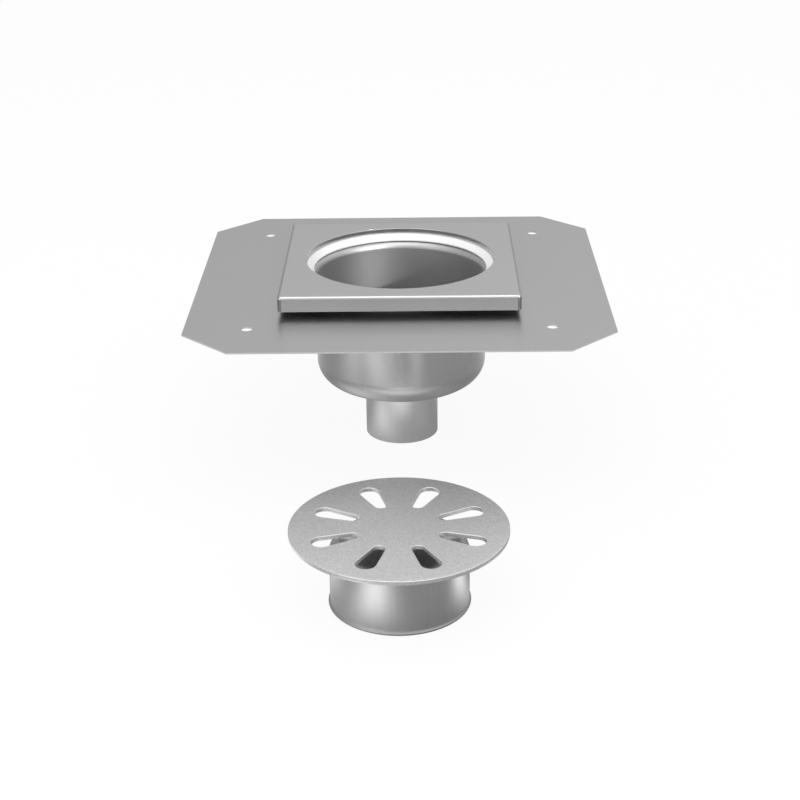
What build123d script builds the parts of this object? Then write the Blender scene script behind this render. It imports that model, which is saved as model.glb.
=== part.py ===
from build123d import *
import os

os.makedirs("parts", exist_ok=True)

# Floor drain: a square top frame on a deep drawn bowl, with a flange for the floor's
# membrane, a tube outlet and a strainer that carries a bell for the water trap.
# The strainer with its bell is lifted out and stands on the ground in front.
# Lengths are in millimetres. The finished floor is z = 0 and the outlet is on the Z axis.
# Depths are measured down from the finished floor.

# Top frame, folded from one sheet, with a collar welded under its opening
frame_side = 150.0
frame_sheet = 1.5
frame_skirt = 10.0  # depth of the folded skirt
frame_fold = 0.6  # inside radius of the folds
frame_corner = 1.0  # inside radius of the upright corners
opening_diameter = 122.6  # inside the collar
opening_edge = 0.3  # rounding of the edge at the floor
collar_depth = 7.5

# Bowl, deep drawn from one sheet
bowl_step = 6.8  # collar's outside to the bowl's wall, which leaves the seal its seat
bowl_sheet = 1.5
bowl_depth = 84.4
bowl_lip = 3.5  # inside radius of the turned-out rim
bowl_knuckle = 14.0  # inside radius between the wall and the bottom
rim_margin = 1.2  # rim seen past the collar, for its weld

# Membrane flange, cut from sheet
flange_side = 262.0
flange_sheet = 1.0
flange_depth = 14.0
flange_chamfer = 30.0
fixing_spacing = 185.0
fixing_hole = 7.0

# Tube of the outlet below the bowl and of the standpipe, the trap's overflow, inside it
tube_diameter = 48.3
tube_wall = 2.0
outlet_depth = 123.2
standpipe_depth = 34.0

# Sealing ring under the strainer
seal_width = 5.0
seal_height = 4.0
seal_land = 2.0  # width of the flat top that the strainer rests on
seal_nose = 1.0  # height of the inner edge, where the slope ends
seal_corner = 0.3

# Strainer plate with a ring of tapered slots
grate_sheet = 2.5
grate_edge = 0.4  # rounding of the rim
slot_count = 8
slot_inner_radius = 23.8  # strainer's centre to the slot's near end
slot_outer_radius = 50.4  # strainer's centre to the slot's far end
slot_inner_width = 7.0
slot_outer_width = 11.4

# Bell, drawn from thin sheet, and the bush that holds it under the strainer
bell_diameter = 77.4
bell_sheet = 1.0
bell_height = 37.0
bell_shoulder = 5.0  # inside radius
bell_bead = 1.8  # thickness of the rolled rim
bush_diameter = 20.0
bush_height = 6.0

# Clearances
weld_fit = 0.1  # flange's hole to bowl
seal_fit = 0.05  # ring to collar
grate_fit = 0.8  # strainer to collar
stand_gap = 36.5  # flange's edge to the strainer, taken out and stood in front

# Sizes that follow
opening_radius = opening_diameter / 2
collar_radius = opening_radius + frame_sheet
bowl_radius = collar_radius - bowl_step
tube_radius = tube_diameter / 2
tube_bore = tube_radius - tube_wall
bell_radius = bell_diameter / 2
grate_radius = opening_radius - grate_fit
grate_underside = seal_height - collar_depth
bell_top = grate_underside - bush_height
bell_rim = bell_top - bell_height
stand_y = -(flange_side / 2 + stand_gap + grate_radius)
taken_out = Pos(0, stand_y, -outlet_depth - bell_rim)


def turned_sheet(corners, bends, sheet):
    """Sheet turned about the Z axis: its middle line, as radius and height, bends at each corner."""
    middle = FilletPolyline(*corners, radius=bends)
    return revolve(Plane.XZ * trace(middle, sheet), Axis.Z)


def folded_tray(side, corner, fold, top, depth):
    """Block with rounded upright corners and a rounded top edge, for one face of the frame's sheet."""
    block = extrude(Pos(0, 0, top) * RectangleRounded(side, side, corner), -depth)
    top_edges = block.faces().sort_by(Axis.Z)[-1].edges()
    return fillet(top_edges, fold)


def make_top_frame():
    """Square plate with a folded skirt, and a collar under its round opening."""
    outside = folded_tray(
        frame_side, frame_corner + frame_sheet, frame_fold + frame_sheet, 0, frame_skirt
    )
    inside = folded_tray(
        frame_side - 2 * frame_sheet, frame_corner, frame_fold, -frame_sheet, frame_skirt
    )
    collar = extrude(Pos(0, 0, -frame_sheet / 2) * Circle(collar_radius), frame_sheet / 2 - collar_depth)
    opening = extrude(Circle(opening_radius), -collar_depth)
    frame = outside - inside + collar - opening
    top_circles = frame.edges().filter_by(GeomType.CIRCLE).group_by(Axis.Z)[-1]
    return fillet(top_circles.sort_by(SortBy.LENGTH)[-1], opening_edge)


def make_drain_bowl():
    """Bowl whose rim carries the collar and the seal, with the outlet's hole in its flat bottom."""
    rim_middle = -collar_depth - bowl_sheet / 2
    wall_middle = bowl_radius - bowl_sheet / 2
    bottom_middle = bowl_sheet / 2 - bowl_depth
    return turned_sheet(
        [
            (collar_radius + rim_margin, rim_middle),
            (wall_middle, rim_middle),
            (wall_middle, bottom_middle),
            (tube_bore, bottom_middle),
        ],
        [bowl_lip + bowl_sheet / 2, bowl_knuckle + bowl_sheet / 2],
        bowl_sheet,
    )


def make_membrane_flange():
    """Square sheet with cut corners, welded round the bowl, with a fixing hole near each corner."""
    outline = chamfer(Rectangle(flange_side, flange_side).vertices(), flange_chamfer)
    outline -= Circle(bowl_radius + weld_fit)
    outline -= GridLocations(fixing_spacing, fixing_spacing, 2, 2) * Circle(fixing_hole / 2)
    return extrude(Pos(0, 0, -flange_depth) * outline, -flange_sheet)


def make_tube(lower_depth, upper_depth):
    """Length of plain tube on the outlet's axis."""
    section = Circle(tube_radius) - Circle(tube_bore)
    return extrude(Pos(0, 0, -lower_depth) * section, lower_depth - upper_depth)


def make_seal_ring():
    """Ring on the bowl's rim, inside the collar, with a flat land on top and a slope inwards."""
    outer = opening_radius - seal_fit
    inner = outer - seal_width
    section = Polygon(
        (inner, 0),
        (outer, 0),
        (outer, seal_height),
        (outer - seal_land, seal_height),
        (inner, seal_nose),
        align=None,
    )
    section = fillet(section.vertices(), seal_corner)
    return Pos(0, 0, -collar_depth) * revolve(Plane.XZ * section, Axis.Z)


def make_strainer_grate():
    """Round plate on the seal, with tapered slots whose wide ends point outwards."""
    near = Pos(slot_inner_radius + slot_inner_width / 2, 0) * Circle(slot_inner_width / 2)
    far = Pos(slot_outer_radius - slot_outer_width / 2, 0) * Circle(slot_outer_width / 2)
    underside = Pos(0, 0, grate_underside)
    slot = extrude(underside * make_hull((near + far).edges()), grate_sheet)
    disc = extrude(underside * Circle(grate_radius), grate_sheet)
    disc = fillet(disc.edges(), grate_edge)
    return disc - PolarLocations(0, slot_count, start_angle=180 / slot_count) * slot


def make_trap_bell():
    """Closed bell that hangs over the standpipe, with a rim rolled outwards."""
    wall_middle = bell_radius - bell_sheet / 2
    top_middle = bell_top - bell_sheet / 2
    bead_middle = bell_rim + bell_bead / 2
    wall = turned_sheet(
        [(0, top_middle), (wall_middle, top_middle), (wall_middle, bead_middle)],
        bell_shoulder + bell_sheet / 2,
        bell_sheet,
    )
    return wall + Pos(0, 0, bead_middle) * Torus(bell_radius, bell_bead / 2)


def make_bell_bush():
    """Short bush welded between the strainer and the bell's top."""
    return extrude(Pos(0, 0, bell_top) * Circle(bush_diameter / 2), bush_height)


parts = {
    "top_frame": make_top_frame(),
    "drain_bowl": make_drain_bowl(),
    "membrane_flange": make_membrane_flange(),
    "outlet_spigot": make_tube(outlet_depth, bowl_depth),
    "standpipe": make_tube(bowl_depth - bowl_sheet, standpipe_depth),
    "seal_ring": make_seal_ring(),
    "strainer_grate": taken_out * make_strainer_grate(),
    "trap_bell": taken_out * make_trap_bell(),
    "bell_bush": taken_out * make_bell_bush(),
}

for name, shape in parts.items():
    export_step(shape, f"parts/{name}.step")
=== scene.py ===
# Floor drain with its strainer lifted out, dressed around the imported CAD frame. Lengths are in metres.
import bmesh
import bpy
import math
import numpy as np
from mathutils import Matrix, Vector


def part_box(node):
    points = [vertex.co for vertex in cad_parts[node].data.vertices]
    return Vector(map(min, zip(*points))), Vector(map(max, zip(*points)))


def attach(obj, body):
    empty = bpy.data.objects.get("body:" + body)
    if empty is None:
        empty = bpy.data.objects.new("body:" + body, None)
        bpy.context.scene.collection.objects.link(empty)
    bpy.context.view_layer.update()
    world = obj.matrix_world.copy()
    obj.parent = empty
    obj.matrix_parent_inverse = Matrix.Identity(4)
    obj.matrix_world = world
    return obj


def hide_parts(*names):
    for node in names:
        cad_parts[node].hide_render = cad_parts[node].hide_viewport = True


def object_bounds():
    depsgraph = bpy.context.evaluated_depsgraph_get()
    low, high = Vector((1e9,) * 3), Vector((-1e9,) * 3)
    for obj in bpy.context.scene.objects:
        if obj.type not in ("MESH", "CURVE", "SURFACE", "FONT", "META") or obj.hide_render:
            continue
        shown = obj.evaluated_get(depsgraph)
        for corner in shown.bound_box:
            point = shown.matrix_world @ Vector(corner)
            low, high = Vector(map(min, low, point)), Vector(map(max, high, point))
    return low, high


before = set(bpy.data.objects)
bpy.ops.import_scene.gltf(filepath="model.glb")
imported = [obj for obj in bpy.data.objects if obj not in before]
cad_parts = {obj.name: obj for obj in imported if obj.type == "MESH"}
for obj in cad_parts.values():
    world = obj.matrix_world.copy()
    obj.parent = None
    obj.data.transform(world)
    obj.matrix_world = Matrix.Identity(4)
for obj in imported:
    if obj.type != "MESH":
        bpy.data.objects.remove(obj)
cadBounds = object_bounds()
print("frame loaded:", ", ".join(sorted(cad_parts)))


# Shader maths: arithmetic and comparisons on a Link add Math nodes, add() makes any other node.
class Link:
    def __init__(self, tree, socket=None):
        self.tree = tree
        self.socket = socket

    def plug(self, target, value):
        if isinstance(value, Link):
            self.tree.links.new(value.socket, target)
        elif value is not None:
            target.default_value = value

    def add(self, kind, settings=None, sockets=None, out=0):
        node = self.tree.nodes.new(kind)
        for key, value in (settings or {}).items():
            setattr(node, key, value)
        for key, value in (sockets or {}).items():
            self.plug(node.inputs[key], value)
        return Link(self.tree, node.outputs[out])

    def maths(self, operation, first, second=None):
        return self.add("ShaderNodeMath", {"operation": operation}, {0: first, 1: second})

    def __add__(self, other):
        return self.maths("ADD", self, other)

    def __sub__(self, other):
        return self.maths("SUBTRACT", self, other)

    def __rsub__(self, other):
        return self.maths("SUBTRACT", other, self)

    def __mul__(self, other):
        return self.maths("MULTIPLY", self, other)

    def __truediv__(self, other):
        return self.maths("DIVIDE", self, other)

    def __pow__(self, other):
        return self.maths("POWER", self, other)

    def __lt__(self, other):
        return self.maths("LESS_THAN", self, other)

    def __gt__(self, other):
        return self.maths("GREATER_THAN", self, other)

    def __abs__(self):
        return self.maths("ABSOLUTE", self)

    __radd__ = __add__
    __rmul__ = __mul__


nearEnough = 2e-6  # points that lie nearer to each other than this are joined


def gridFaces(columns, rows, wrapRows):
    # quads of a grid whose columns wrap round; its rows wrap too on a closed section
    row = np.arange(rows if wrapRows else rows - 1)
    here = np.arange(columns)[:, None] * rows
    there = np.roll(here, -1, axis=0)
    above = (row + 1) % rows
    return np.stack([here + row, there + row, there + above, here + above], axis=-1).reshape(-1, 4)


def addPiece(name, patches):
    # patches of points (columns, rows, xyz) become one mesh: seams and poles closed, faces outwards
    points = np.concatenate([grid.reshape(-1, 3) for grid, wrapRows in patches])
    faces = []
    start = 0
    for grid, wrapRows in patches:
        columns, rows = grid.shape[:2]
        faces.append(gridFaces(columns, rows, wrapRows) + start)
        start += columns * rows
    faces = np.concatenate(faces)
    mesh = bpy.data.meshes.new(name)
    mesh.vertices.add(len(points))
    mesh.vertices.foreach_set("co", points.astype(np.float32).ravel())
    mesh.loops.add(faces.size)
    mesh.loops.foreach_set("vertex_index", faces.astype(np.int32).ravel())
    mesh.polygons.add(len(faces))
    mesh.polygons.foreach_set("loop_start", np.arange(0, faces.size, 4, dtype=np.int32))
    mesh.update(calc_edges=True)
    work = bmesh.new()
    work.from_mesh(mesh)
    bmesh.ops.remove_doubles(work, verts=work.verts, dist=nearEnough)
    bmesh.ops.recalc_face_normals(work, faces=work.faces)
    work.to_mesh(mesh)
    work.free()
    mesh.polygons.foreach_set("use_smooth", np.ones(len(mesh.polygons), bool))
    mesh.update()
    piece = bpy.data.objects.new(name, mesh)
    bpy.context.scene.collection.objects.link(piece)
    return piece


def finishPiece(piece, material, node):
    piece.data.materials.append(material)
    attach(piece, "root")
    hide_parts(node)


def ring(radius, angle):
    # x and y of a circle's points: radius times the cosine and the sine of the angle
    return np.stack([radius * np.cos(angle), radius * np.sin(angle)], axis=-1)


def roundedOutline(corners, radii, steps=8, support=0.00015):
    # each corner becomes an arc about a centre on its bisector, as far away as the radius over the sine of
    # half the corner's angle, with one more point on the straight run just before the arc and just after it
    corner = np.array(corners, float)
    radius = np.array(radii, float)[:, None]
    before = np.roll(corner, 1, axis=0) - corner
    after = np.roll(corner, -1, axis=0) - corner
    before /= np.linalg.norm(before, axis=1, keepdims=True)
    after /= np.linalg.norm(after, axis=1, keepdims=True)
    half = np.arccos(np.clip((before * after).sum(1, keepdims=True), -1, 1)) / 2
    middle = before + after
    middle /= np.linalg.norm(middle, axis=1, keepdims=True)
    centre = corner + middle * radius / np.sin(half)
    start = corner + before * radius / np.tan(half)
    end = corner + after * radius / np.tan(half)
    first = np.arctan2((start - centre)[:, 1], (start - centre)[:, 0])
    last = np.arctan2((end - centre)[:, 1], (end - centre)[:, 0])
    turn = (last - first + np.pi) % (2 * np.pi) - np.pi
    angle = first[:, None] + turn[:, None] * np.linspace(0, 1, steps)
    arc = centre[:, None] + ring(radius, angle)
    entry = (start + before * support)[:, None]
    leave = (end + after * support)[:, None]
    return np.concatenate([entry, arc, leave], axis=1).reshape(-1, 2)


def turned(outline, turns, axisY=0.0):
    # an outline of radius and height, turned about the upright axis through (0, axisY)
    angle = np.linspace(0, 2 * np.pi, turns, endpoint=False)[:, None]
    radius, height = outline.T
    flat = ring(radius, angle) + [0, axisY]
    return np.concatenate([flat, height[None, :, None] + 0 * flat[..., :1]], axis=-1)


def newMaterial(name):
    material = bpy.data.materials.new(name)
    material.use_nodes = True
    return material, material.node_tree.nodes["Principled BSDF"], Link(material.node_tree)


def objectPlace(start):
    return start.add("ShaderNodeTexCoord", out=3)  # the piece's own coordinates


def axes(start, vector):
    # x, y and z of a vector, from one node
    node = start.add("ShaderNodeSeparateXYZ", None, {0: vector}).socket.node
    return [Link(start.tree, output) for output in node.outputs]


def noise(start, vector, scale, detail):
    return start.add("ShaderNodeTexNoise", None, {"Vector": vector, "Scale": scale, "Detail": detail})


def finishShader(start, shader, look, tone, rough, height):
    # the plain colour times a grey tone, with a roughness and a bumped height
    grey = start.add("ShaderNodeCombineColor", None, {0: tone, 1: tone, 2: tone})
    multiply = {"data_type": "RGBA", "blend_type": "MULTIPLY"}
    colour = start.add("ShaderNodeMix", multiply, {0: 1.0, 6: (*look["colour"], 1), 7: grey}, 2)
    sockets = {"Strength": 1.0, "Distance": look["bumpDistance"], "Height": height}
    start.plug(shader.inputs["Base Color"], colour)
    start.plug(shader.inputs["Roughness"], rough)
    start.plug(shader.inputs["Normal"], start.add("ShaderNodeBump", None, sockets))


def streakPlace(start, place, look):
    # streaks are noise read from a stretched place: along X on rolled sheet, upwards on turned sheet
    if "streakPull" in look:
        return start.add("ShaderNodeMapping", None, {"Vector": place, "Scale": look["streakPull"]})
    x, y, z = axes(start, place)
    radius = (x * x + y * y) ** 0.5
    sockets = {0: x / radius, 1: y / radius, 2: z * look["streakRise"]}
    return start.add("ShaderNodeCombineXYZ", None, sockets)


def steel(name, look, axisY=0.0, patch=None):
    # stainless with a cloudy tone, fine grain and streaks; a patch, told from a point's place, has its own
    # roughness and a darker tone, which is painted shade
    material, shader, start = newMaterial(name)
    shader.inputs["Metallic"].default_value = 1.0
    place = objectPlace(start)
    moved = start.add("ShaderNodeMapping", None, {"Vector": place, "Location": (0, -axisY, 0)})
    cloud = noise(start, moved, look["cloudScale"], look["cloudDetail"]) - 0.5
    grain = noise(start, moved, look["grainScale"], look["grainDetail"]) - 0.5
    tone = 1 + cloud * look["cloud"] + grain * look["grain"]
    rough = look["rough"] + cloud * look["roughCloud"]
    height = grain * look["grainHeight"]
    if "streak" in look:
        pulled = streakPlace(start, moved, look)
        streak = noise(start, pulled, look["streakScale"], look["streakDetail"]) - 0.5
        tone = tone + streak * look["streak"]
        rough = rough + streak * look["roughStreak"]
        height = height + streak * look["streakHeight"]
    if patch:
        roughPaintedShadePatch = patch(start, *axes(start, moved))
        # the patch's darker tone is painted shade; its extra roughness is the metal's own
        tone = tone * (1 + roughPaintedShadePatch * look["patchPaintedShade"])
        rough = rough + roughPaintedShadePatch * look["patchRougher"]
    finishShader(start, shader, look, tone, rough, height)
    return material


sheetLook = {  # shared by all the steel pieces, unless a piece has its own value
    "cloudScale": 14.0,
    "cloudDetail": 3.0,
    "grainScale": 1500.0,
    "grainDetail": 2.0,
    "grain": 0.05,
    "grainHeight": 0.01,
    "streakDetail": 4.0,
    "roughCloud": 0.06,
    "bumpDistance": 0.001,
}

topFrame = {
    "sheet": 0.0015,
    "fold": 0.0006,  # inside radius
    "corner": 0.0010,  # inside radius of the upright corners
    "opening": 0.0613,
    "openingEdge": 0.0003,
    "collarDepth": 0.0075,
    "edge": 0.0003,
    "sideSamples": 56,
    "cornerSamples": 9,
    "plateRows": 7,
    "look": {
        **sheetLook,
        "colour": (0.58, 0.58, 0.585),
        "rough": 0.30,
        "cloud": 0.05,
        "grain": 0.04,
        "streakPull": (0.02, 1.0, 1.0),
        "streakScale": 900.0,
        "streak": 0.05,
        "streakHeight": 0.004,
        "roughStreak": 0.05,
        # rougher, and darker as painted shade, on the underside and the upright corners
        "patchRougher": 0.15,
        "patchPaintedShade": -0.55,
    },
}


def frameOutline(halfSide, corner):
    # a square inset by the corner's radius, and the way out from each of its points: a side's points lie
    # at even angles seen from the middle, a corner's fan out; quarter turns give the other three sides
    inner = halfSide - corner
    limit = math.atan2(inner, halfSide)
    angle = np.linspace(-limit, limit, topFrame["sideSamples"])
    fan = np.linspace(0, np.pi / 2, topFrame["cornerSamples"] + 2)[1:-1]
    sideBase = np.stack([np.full_like(angle, inner), halfSide * np.tan(angle)], axis=-1)
    base = np.concatenate([sideBase, np.full((len(fan), 2), inner)])
    out = np.concatenate([np.tile([1.0, 0.0], (len(angle), 1)), ring(1, fan)])
    quarter = np.arange(4) * np.pi / 2
    turn = np.array([[np.cos(quarter), -np.sin(quarter)], [np.sin(quarter), np.cos(quarter)]])
    return [np.einsum("ijq,pj->qpi", turn, side).reshape(-1, 2) for side in (base, out)]


def makeTopFrame():
    # rows run round the section: up the collar, over the plate, down the skirt and back underneath; a row
    # at the opening is a circle, one at the skirt is the rounded square, and the plate's rows blend the two
    s = topFrame
    low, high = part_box("top_frame")
    top, bottom, halfSide = high.z, low.z, high.x
    sheet, edge = s["sheet"], s["edge"]
    underside, collarFoot = top - sheet, top - s["collarDepth"]
    outerFold, outerCorner = s["fold"] + sheet, s["corner"] + sheet
    skirt = 1  # the skirt's outside, on a section drawn with its plate one metre wide
    corners = [
        (0, collarFoot), (0, top), (skirt, top), (skirt, bottom),
        (skirt - sheet, bottom), (skirt - sheet, underside), (sheet, underside), (sheet, collarFoot),
    ]
    radii = [edge, s["openingEdge"], outerFold, edge, edge, s["fold"], edge, edge]
    across, height = roundedOutline(corners, radii).T
    share = np.where(across > skirt / 2, 1.0, 0.0)  # of the square: none at the opening, all at the skirt
    radius, inset = (1 - share) * (s["opening"] + across), share * (skirt - across)
    rows = np.stack([share, radius, inset, height], axis=-1)
    perCorner = len(rows) // len(corners)
    upper, lower = 2 * perCorner, 6 * perCorner  # where the plate's faces end on the section
    blend = np.linspace(0, 1, s["plateRows"] + 2)[1:-1, None]

    def plateRows(end):
        given = rows[end - 1] * (1 - blend) + rows[end] * blend
        given[:, 1:3] = np.maximum(rows[end - 1], rows[end])[1:3]
        return given

    rows = np.concatenate(
        [rows[:upper], plateRows(upper), rows[upper:lower], plateRows(lower), rows[lower:]]
    )
    share, radius, inset, height = rows.T[:, None, :, None]
    base, out = frameOutline(halfSide, outerCorner)
    side = base + out * outerCorner
    direction = side / np.linalg.norm(side, axis=1, keepdims=True)
    square = base[:, None] + out[:, None] * (outerCorner - inset)
    flat = direction[:, None] * radius * (1 - share) + square * share
    points = np.concatenate([flat, height + 0 * flat[..., :1]], axis=-1)

    def shadedUndersideAndCorners(start, x, y, z):
        # the underside and the upright corners, both rougher; the underside darker as painted shade under
        # the plate, the corners darker as painted shade that dulls their highlight
        radius = (x * x + y * y) ** 0.5
        farther = start.maths("MAXIMUM", abs(x), abs(y))
        nearer = start.maths("MINIMUM", abs(x), abs(y))
        insideSkirt = farther < halfSide - sheet / 2
        outsideCollar = radius > s["opening"] + sheet / 2
        under = insideSkirt * outsideCollar * (z < top - sheet / 2)
        uprights = (nearer > halfSide - outerCorner) * (z < top - outerFold)
        return start.maths("MAXIMUM", under, uprights)

    material = steel("frameSteel", s["look"], patch=shadedUndersideAndCorners)
    finishPiece(addPiece("topFramePlate", [(points, True)]), material, "top_frame")


bowl = {
    "sheet": 0.0015,
    "wall": 0.056,  # outside radius
    "lip": 0.0035,  # inside radius
    "knuckle": 0.014,  # inside radius
    "hole": 0.02215,
    "edge": 0.0003,
    "turns": 256,
    "arcSteps": 18,
    "lipRoughShadeShare": 0.8,  # of the inner face's extra roughness and painted shade, on the lip
    "look": {
        **sheetLook,
        "colour": (0.65, 0.65, 0.655),
        "rough": 0.27,
        "cloud": 0.06,
        "streakRise": 3.0,
        "streakScale": 34.0,
        "streak": 0.10,
        "streakHeight": 0.0006,
        "roughStreak": 0.05,
        # rougher, and darker as painted shade, inside the bowl and on its lip
        "patchRougher": 0.23,
        "patchPaintedShade": -0.24,
    },
}


def makeBowl():
    # sheet section turned about the outlet's axis: rim, lip, wall, knuckle and bottom, then back outside
    s = bowl
    low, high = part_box("drain_bowl")
    top, bottom, rim = high.z, low.z, high.x
    sheet, wall, hole, edge = s["sheet"], s["wall"], s["hole"], s["edge"]
    lip, knuckle = s["lip"], s["knuckle"]
    inside = wall - sheet
    corners = [
        (rim, top), (inside, top), (inside, bottom + sheet), (hole, bottom + sheet),
        (hole, bottom), (wall, bottom), (wall, top - sheet), (rim, top - sheet),
    ]
    radii = [edge, lip + sheet, knuckle, edge, edge, knuckle + sheet, lip, edge]
    section = roundedOutline(corners, radii, s["arcSteps"])

    def innerShadedFace(start, x, y, z):
        # what lies inside the sheet's middle, which turns about the lip's centre and the knuckle's centre;
        # it gets more roughness and painted shade
        radius = (x * x + y * y) ** 0.5
        out, up = radius - (wall + lip), z - (top - sheet - lip)
        onLip = (out * out + up * up > (lip + sheet / 2) ** 2) * (up > 0)
        out, down = radius - (inside - knuckle), bottom + sheet + knuckle - z
        pastKnuckle = (out * out + down * down > (knuckle + sheet / 2) ** 2) * (out > 0) * (down > 0)
        onWall = (radius < wall - sheet / 2) * (z > bottom + sheet / 2) * (1 - pastKnuckle)
        return start.maths("MAXIMUM", onWall, onLip * s["lipRoughShadeShare"])

    material = steel("bowlSteel", s["look"], patch=innerShadedFace)
    piece = addPiece("drawnBowl", [(turned(section, s["turns"]), True)])
    finishPiece(piece, material, "drain_bowl")


tube = {
    "wall": 0.002,
    "edge": 0.0004,
    "turns": 192,
    "look": {
        **sheetLook,
        "colour": (0.84, 0.84, 0.845),
        "rough": 0.24,
        "cloud": 0.05,
        "streakRise": 1.0,
        "streakScale": 16.0,
        "streak": 0.06,
        "streakHeight": 0.002,
        "roughStreak": 0.05,
    },
}


def makeTube(name, node, material):
    # square-ended ring section, edges barely broken, turned about the outlet's axis
    low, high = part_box(node)
    inner = high.x - tube["wall"]
    corners = [(inner, low.z), (high.x, low.z), (high.x, high.z), (inner, high.z)]
    section = roundedOutline(corners, [tube["edge"]] * len(corners))
    finishPiece(addPiece(name, [(turned(section, tube["turns"]), True)]), material, node)


seal = {
    "width": 0.0050,
    "land": 0.0020,
    "nose": 0.0010,
    "corner": 0.0003,
    "turns": 224,
    "look": {
        "colour": (0.86, 0.86, 0.855),
        "rough": 0.42,
        "cloudScale": 90.0,
        "cloudDetail": 3.0,
        "cloud": 0.04,
        "roughCloud": 0.1,
        "grainScale": 900.0,
        "grainDetail": 2.0,
        "grainHeight": 0.02,
        "bumpDistance": 0.001,
    },
}


def makeSeal():
    # wedge section with a flat land and a slope inwards, turned about the outlet's axis
    s, look = seal, seal["look"]
    low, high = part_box("seal_ring")
    outer, inner = high.x, high.x - s["width"]
    corners = [
        (inner, low.z), (outer, low.z), (outer, high.z),
        (outer - s["land"], high.z), (inner, low.z + s["nose"]),
    ]
    section = roundedOutline(corners, [s["corner"]] * len(corners))
    material, shader, start = newMaterial("sealRubber")
    place = objectPlace(start)
    cloud = noise(start, place, look["cloudScale"], look["cloudDetail"]) - 0.5
    grain = noise(start, place, look["grainScale"], look["grainDetail"])
    rough = look["rough"] + cloud * look["roughCloud"]
    finishShader(start, shader, look, 1 + cloud * look["cloud"], rough, grain * look["grainHeight"])
    piece = addPiece("sealRing", [(turned(section, s["turns"]), True)])
    finishPiece(piece, material, "seal_ring")


strainer = {
    "slots": 8,
    "nearEnd": 0.0238,
    "farEnd": 0.0504,
    "nearWidth": 0.0070,
    "farWidth": 0.0114,
    "hub": 0.0190,
    "hubRings": 5,
    "rimEdge": 0.0004,
    "slotEdge": 0.00035,
    "slotMargin": 0.0002,  # narrow row of faces round the slot's edge, which keeps the plate flat
    "edgeSteps": 6,
    "capSamples": 26,
    "sideSamples": 18,
    "plateRows": 5,
    "look": {
        **sheetLook,
        "colour": (0.80, 0.80, 0.805),
        "rough": 0.44,
        "cloud": 0.07,
        "grainScale": 1100.0,
        "grain": 0.55,
        "grainHeight": 0.16,
        "roughCloud": 0.05,
    },
}


def openSteps(first, last, count):
    # even steps that stop short of the last value, where the next stretch of a loop begins
    return np.linspace(first, last, count, endpoint=False)


def makeStrainer():
    # a sector of the plate is a grid between its slot's outline and its own border, where arcs face arcs
    # and sides face sides: over the top, down the slot's wall and out again underneath; turned copies, the
    # rounded rim and two discs at the hub close the plate
    s = strainer
    low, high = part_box("strainer_grate")
    top, bottom, outer = high.z, low.z, high.x
    axisY = (low.y + high.y) / 2
    half = np.pi / s["slots"]
    rim, hub = outer - s["rimEdge"], s["hub"]
    nearRadius, farRadius = s["nearWidth"] / 2, s["farWidth"] / 2
    nearX, farX = s["nearEnd"] + nearRadius, s["farEnd"] - farRadius
    contact = np.pi / 2 + math.asin((farRadius - nearRadius) / (farX - nearX))  # a side leaves its arc here
    along = openSteps(0, 1, s["sideSamples"])[:, None]
    arc = openSteps(-half, half, s["capSamples"])

    def loop(farArc, farTouch, nearArc, nearTouch):
        upper = farTouch * (1 - along) + nearTouch * along
        lower = (nearTouch * (1 - along) + farTouch * along) * [1, -1]
        return np.concatenate([farArc, upper, nearArc, lower])

    def slotLoop(grow):
        def farEnd(angle):
            return ring(farRadius + grow, angle) + [farX, 0]

        def nearEnd(angle):
            return ring(nearRadius + grow, angle) + [nearX, 0]

        farArc = farEnd(openSteps(-contact, contact, s["capSamples"]))
        nearArc = nearEnd(openSteps(contact, 2 * np.pi - contact, s["capSamples"]))
        return loop(farArc, farEnd(contact), nearArc, nearEnd(contact))

    bend = np.linspace(0, np.pi / 2, s["edgeSteps"])
    grow = s["slotEdge"] * (1 - np.sin(bend))
    drop = s["slotEdge"] * (1 - np.cos(bend))
    wallGrow = np.concatenate([grow, grow[::-1]])
    wallHeight = np.concatenate([top - drop, bottom + drop[::-1]])
    margin = slotLoop(s["slotEdge"] + s["slotMargin"])
    border = loop(ring(rim, arc), ring(rim, half), ring(hub, -arc), ring(hub, half))
    share = np.linspace(0, 1, s["plateRows"] + 1)[:, None, None]
    plate = margin * (1 - share) + border * share
    wall = np.stack([slotLoop(size) for size in wallGrow])
    flat = np.concatenate([plate[::-1], wall, plate]).transpose(1, 0, 2)
    height = np.concatenate([np.full(len(plate), top), wallHeight, np.full(len(plate), bottom)])
    sector = np.concatenate([flat, np.broadcast_to(height, flat.shape[:2])[..., None]], axis=-1)
    middles = half + 2 * half * np.arange(s["slots"])
    patches = []
    for angle in middles:
        cosine, sine = ring(1, angle)
        turn = np.array([[cosine, sine, 0], [-sine, cosine, 0], [0, 0, 1]])
        patches.append((sector @ turn + [0, axisY, 0], False))

    angles = (middles[:, None] + arc).ravel()[:, None]
    rimRadius = rim + s["rimEdge"] * np.concatenate([np.sin(bend), np.cos(bend)])
    rimDrop = s["rimEdge"] * (1 - np.cos(bend))
    rimHeight = np.concatenate([bottom + rimDrop, top - rimDrop[::-1]])
    rings = [(rimRadius, rimHeight, angles)]
    hubRadius = np.linspace(hub, 0, s["hubRings"])
    for level in (top, bottom):
        rings.append((hubRadius, level + 0 * hubRadius, -angles))  # the hub's arcs run the other way
    for radius, level, angle in rings:
        flat = ring(radius, angle) + [0, axisY]
        patches.append((np.concatenate([flat, level[None, :, None] + 0 * flat[..., :1]], axis=-1), False))
    material = steel("strainerSteel", s["look"], axisY)
    finishPiece(addPiece("strainerPlate", patches), material, "strainer_grate")


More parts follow.
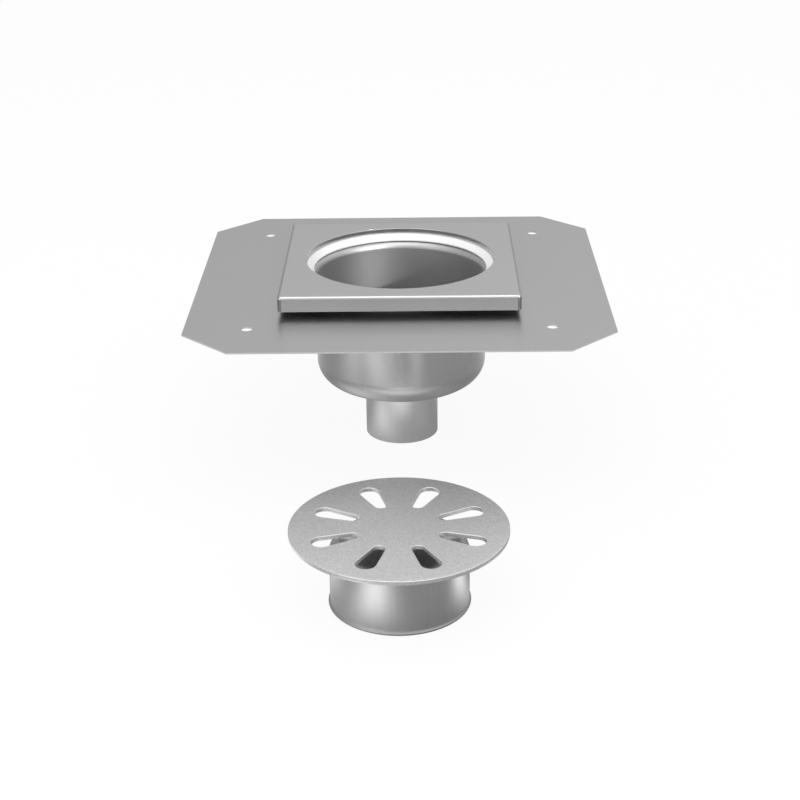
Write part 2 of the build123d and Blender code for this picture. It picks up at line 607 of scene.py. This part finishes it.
bell = {
    "sheet": 0.0010,
    "wall": 0.0387,  # outside radius
    "shoulder": 0.005,  # inside radius
    "bead": 0.0009,  # radius of the rolled rim
    "flare": ((0.0, 3.2), (0.02, 2.2), (0.18, 1.5)),  # out and up from the wall at the bead, in bead radii
    "innerEnd": 1.3,  # up from the bead's middle to the inner wall's end, in bead radii
    "rollSteps": 22,
    "rollGap": 0.5,  # radians that the roll stops short of a full turn
    "shoulderSteps": 14,
    "turns": 256,
    "rimHeight": 3.0,  # of the rougher band at the rolled rim, darker as painted shade that dulls its highlight, in bead radii
    "look": {
        **sheetLook,
        "colour": (0.58, 0.58, 0.585),
        "rough": 0.19,
        "cloud": 0.10,
        "grain": 0.06,
        "streakRise": 2.0,
        "streakScale": 22.0,
        "streak": 0.12,
        "streakHeight": 0.001,
        "roughStreak": 0.10,
        "patchRougher": 0.30,
        "patchPaintedShade": -0.30,
    },
}


def makeBell():
    # open section from the crown's centre down the outside, round the rolled rim and back up inside
    s = bell
    low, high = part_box("trap_bell")
    axisY = (low.y + high.y) / 2
    sheet, wall, bead = s["sheet"], s["wall"], s["bead"]
    beadMiddle = low.z + bead
    steps = s["shoulderSteps"]
    sharp = 1e-6  # radius of the corners that the shoulder's arc is taken from

    def shoulder(radius, bend, crown):
        corners = [(0, crown), (radius, crown), (radius, beadMiddle)]
        outline = roundedOutline(corners, [sharp, bend, sharp], steps)
        return outline[steps + 2:2 * (steps + 2)]

    upper = shoulder(wall, s["shoulder"] + sheet, high.z)
    lower = shoulder(wall - sheet, s["shoulder"], high.z - sheet)
    flare = np.array(s["flare"]) * bead + [wall, beadMiddle]
    turn = np.linspace(np.pi / 2, s["rollGap"] - np.pi * 3 / 2, s["rollSteps"])[2:]
    roll = ring(bead, turn) + [wall, beadMiddle]
    roll = roll[roll[:, 0] > wall - sheet - 5 * nearEnough]  # it ends at the inner wall
    innerEnd = [[wall - sheet, beadMiddle + s["innerEnd"] * bead]]
    crown, innerCrown = [[0, high.z]], [[0, high.z - sheet]]
    outline = np.concatenate([crown, upper, flare, roll, innerEnd, lower[::-1], innerCrown])

    def rolledRimRoughShade(start, x, y, z):
        # rougher, with painted shade that dulls the rim's highlight
        return z < low.z + s["rimHeight"] * bead

    material = steel("bellSteel", s["look"], axisY, rolledRimRoughShade)
    piece = addPiece("trapBell", [(turned(outline, s["turns"], axisY), False)])
    finishPiece(piece, material, "trap_bell")


flange = {
    "edge": 0.00002,  # depth of the faces that the edge's look leaves out
    "edgeMatt": 0.8,
    "look": {
        **sheetLook,
        "colour": (0.54, 0.54, 0.545),
        "rough": 0.33,
        "cloud": 0.03,
        "streakPull": (0.03, 1.0, 1.0),
        "streakScale": 700.0,
        "streak": 0.04,
        "streakHeight": 0.003,
        "roughStreak": 0.0,
    },
}


def dressNode(node, material):
    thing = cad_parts[node]
    thing.data.materials.clear()
    thing.data.materials.append(material)


def dressFlange():
    # rolled sheet; its sheared edge, between the two faces, is matter and lighter
    low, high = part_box("membrane_flange")
    material = steel("flangeSteel", flange["look"])
    start = Link(material.node_tree)
    x, y, z = axes(start, objectPlace(start))
    edge = (z < high.z - flange["edge"]) * (z > low.z + flange["edge"])
    shader = material.node_tree.nodes["Principled BSDF"]
    start.plug(shader.inputs["Metallic"], 1 - edge * flange["edgeMatt"])
    dressNode("membrane_flange", material)


stage = {
    "floorSize": 12.0,
    "floorGap": 0.0001,
    "floorColour": (0.9, 0.9, 0.9),
    "floorGlow": 0.92,  # share of the floor that the camera sees as glow
    "metalGlow": 0.75,  # share of the floor that metal sees as light pools
    "poolBase": 0.17,
    "pools": (  # middle, reach along x and y, strength
        ((-0.044, -0.300), (0.032, 0.035), 1.45),
        ((-0.125, -0.205), (0.075, 0.035), 1.35),
        ((-0.205, -0.120), (0.05, 0.06), 0.70),
        ((-0.010, -0.095), (0.07, 0.022), 0.80),
        ((0.000, -0.155), (0.05, 0.03), 0.90),
        ((-0.055, -0.040), (0.045, 0.035), 0.66),
        ((0.055, -0.045), (0.040, 0.035), 0.16),
        ((0.075, -0.230), (0.03, 0.02), 1.30),
        ((0.000, 0.210), (0.15, 0.12), 1.30),
    ),
    "worldLight": 0.78,
    "backLow": 0.24,  # studio at the back, level with the horizon
    "backRise": 1.30,
    "frontLight": 0.84,
    "frontFrom": 0.5,  # y of the direction where the front begins
    "frontSlope": 0.35,  # duller towards +X
    "topSlope": 0.6,  # overhead duller towards -X
    "topDarker": 0.45,  # share that the studio loses straight overhead
}


def rayMasks(start):
    # the camera's rays, with those through glass, and the rays that metal mirrors
    camera = start.add("ShaderNodeLightPath", out=0)
    through = start.add("ShaderNodeLightPath", out=6)
    return camera + through, start.add("ShaderNodeLightPath", out=3)


def makeFloor():
    # plain white floor that keeps the shadow; metal sees light pools on it, each exp(-distance squared)
    ground = cadBounds[0].z - stage["floorGap"]
    half = stage["floorSize"] / 2
    corners = [(-half, -half, ground), (half, -half, ground), (half, half, ground), (-half, half, ground)]
    mesh = bpy.data.meshes.new("studioFloor")
    mesh.from_pydata(corners, [], [(0, 1, 2, 3)])
    floor = bpy.data.objects.new("studioFloor", mesh)
    bpy.context.scene.collection.objects.link(floor)
    material, shader, start = newMaterial("floorWhite")
    start.tree.nodes.remove(shader)
    x, y, z = axes(start, objectPlace(start))
    pool = stage["poolBase"]
    for (middleX, middleY), (reachX, reachY), strength in stage["pools"]:
        across, along = (x - middleX) / reachX, (y - middleY) / reachY
        pool = pool + start.maths("EXPONENT", (across * across + along * along) * -1) * strength
    eye, metal = rayMasks(start)
    matt = start.add("ShaderNodeBsdfDiffuse", None, {"Color": (*stage["floorColour"], 1)})
    light = {"Color": (1, 1, 1, 1), "Strength": eye + metal * pool}
    glow = start.add("ShaderNodeEmission", None, light)
    share = eye * stage["floorGlow"] + metal * stage["metalGlow"]
    mixed = start.add("ShaderNodeMixShader", None, {0: share, 1: matt, 2: glow})
    start.plug(start.tree.nodes["Material Output"].inputs["Surface"], mixed)
    mesh.materials.append(material)


def makeWorld():
    # white for the camera; metal sees a studio, bright in front and overhead and duller low at the back
    world = bpy.data.worlds.new("studioWorld")
    bpy.context.scene.world = world
    world.use_nodes = True
    start = Link(world.node_tree)
    eye, metal = rayMasks(start)
    x, y, z = axes(start, start.add("ShaderNodeTexCoord", out=0))
    back = start.maths("MINIMUM", stage["backLow"] + z * stage["backRise"], stage["frontLight"])
    toFront = start.maths("MAXIMUM", stage["frontFrom"] - y, 0.0)
    front = start.maths("MINIMUM", toFront, 1.0)
    bright = stage["frontLight"] - x * stage["frontSlope"]
    studio = back + (bright - back) * front + x * z * stage["topSlope"]
    studio = studio * (1 - (z * z) ** 2 * stage["topDarker"])
    background = world.node_tree.nodes["Background"]
    background.inputs["Color"].default_value = (1, 1, 1, 1)
    light = eye + metal * studio + (1 - eye - metal) * stage["worldLight"]
    start.plug(background.inputs["Strength"], light)


lamps = {
    "right": {"place": (0.80, -0.85, 1.40), "aim": (0, -0.05, -0.05), "size": 1.9, "power": 6.0},
    "inside": {
        "place": (1.05, -1.20, 0.58), "aim": (-0.020, 0.051, -0.028), "size": 0.06, "power": 120.0,
        "beam": 0.045,  # narrow, on the bowl's inner wall
    },
    "overhead": {"place": (-0.25, -0.55, 1.3), "aim": (0, -0.08, -0.05), "size": 1.4, "power": 7.0},
    "left": {"place": (-1.1, -1.2, 0.42), "aim": (0, -0.1, -0.06), "size": 1.0, "power": 2.5},
}


def putInScene(thing, side, up, back, place):
    turn = np.eye(4)
    turn[:3] = np.stack([side, up, back, place], axis=-1)
    thing.matrix_world = Matrix(turn.tolist())
    bpy.context.scene.collection.objects.link(thing)


def makeLamps():
    for name, s in lamps.items():
        data = bpy.data.lights.new(name, "SPOT" if "beam" in s else "AREA")
        data.energy = s["power"]
        if "beam" in s:
            data.spot_size = s["beam"]
            data.spot_blend = 1.0
            data.shadow_soft_size = s["size"] / 2
        else:
            data.shape = "DISK"
            data.size = s["size"]
        lamp = bpy.data.objects.new(name, data)
        lamp.visible_camera = False
        back = np.subtract(s["place"], s["aim"])
        back /= np.linalg.norm(back)
        side = np.cross((0, 0, 1), back)
        side /= np.linalg.norm(side)
        putInScene(lamp, side, np.cross(back, side), back, s["place"])


camera = {
    "place": (0.0110, -1.0229, 0.3435),
    "yaw": -0.0120,  # towards +X
    "pitch": 0.4107,  # downwards
    "roll": -0.0129,
    "focalPixels": 1646.6,
    "imageWidth": 800,
    "sensor": 36.0,
}


def makeCamera():
    s = camera
    yaw, pitch, roll = s["yaw"], s["pitch"], s["roll"]
    level = math.cos(pitch)
    forward = np.array([math.sin(yaw) * level, math.cos(yaw) * level, -math.sin(pitch)])
    side = np.array([math.cos(yaw), -math.sin(yaw), 0])
    up = np.cross(side, forward)
    rolledSide = side * math.cos(roll) + up * math.sin(roll)
    rolledUp = up * math.cos(roll) - side * math.sin(roll)
    data = bpy.data.cameras.new("camera")
    data.sensor_width = s["sensor"]
    data.lens = s["focalPixels"] / s["imageWidth"] * s["sensor"]
    lens = bpy.data.objects.new("camera", data)
    putInScene(lens, rolledSide, rolledUp, -forward, s["place"])
    bpy.context.scene.camera = lens


makeCamera()
makeWorld()
makeFloor()
makeLamps()
bpy.context.scene.view_settings.view_transform = "Standard"
print("studio set")

makeTopFrame()
makeBowl()
tubeSteel = steel("tubeSteel", tube["look"])
makeTube("outletTube", "outlet_spigot", tubeSteel)
makeTube("overflowTube", "standpipe", tubeSteel)
makeSeal()
print("drain made")

makeStrainer()
makeBell()
print("strainer made")

dressFlange()
dressNode("bell_bush", steel("bushSteel", strainer["look"]))
print("flange and bush dressed")
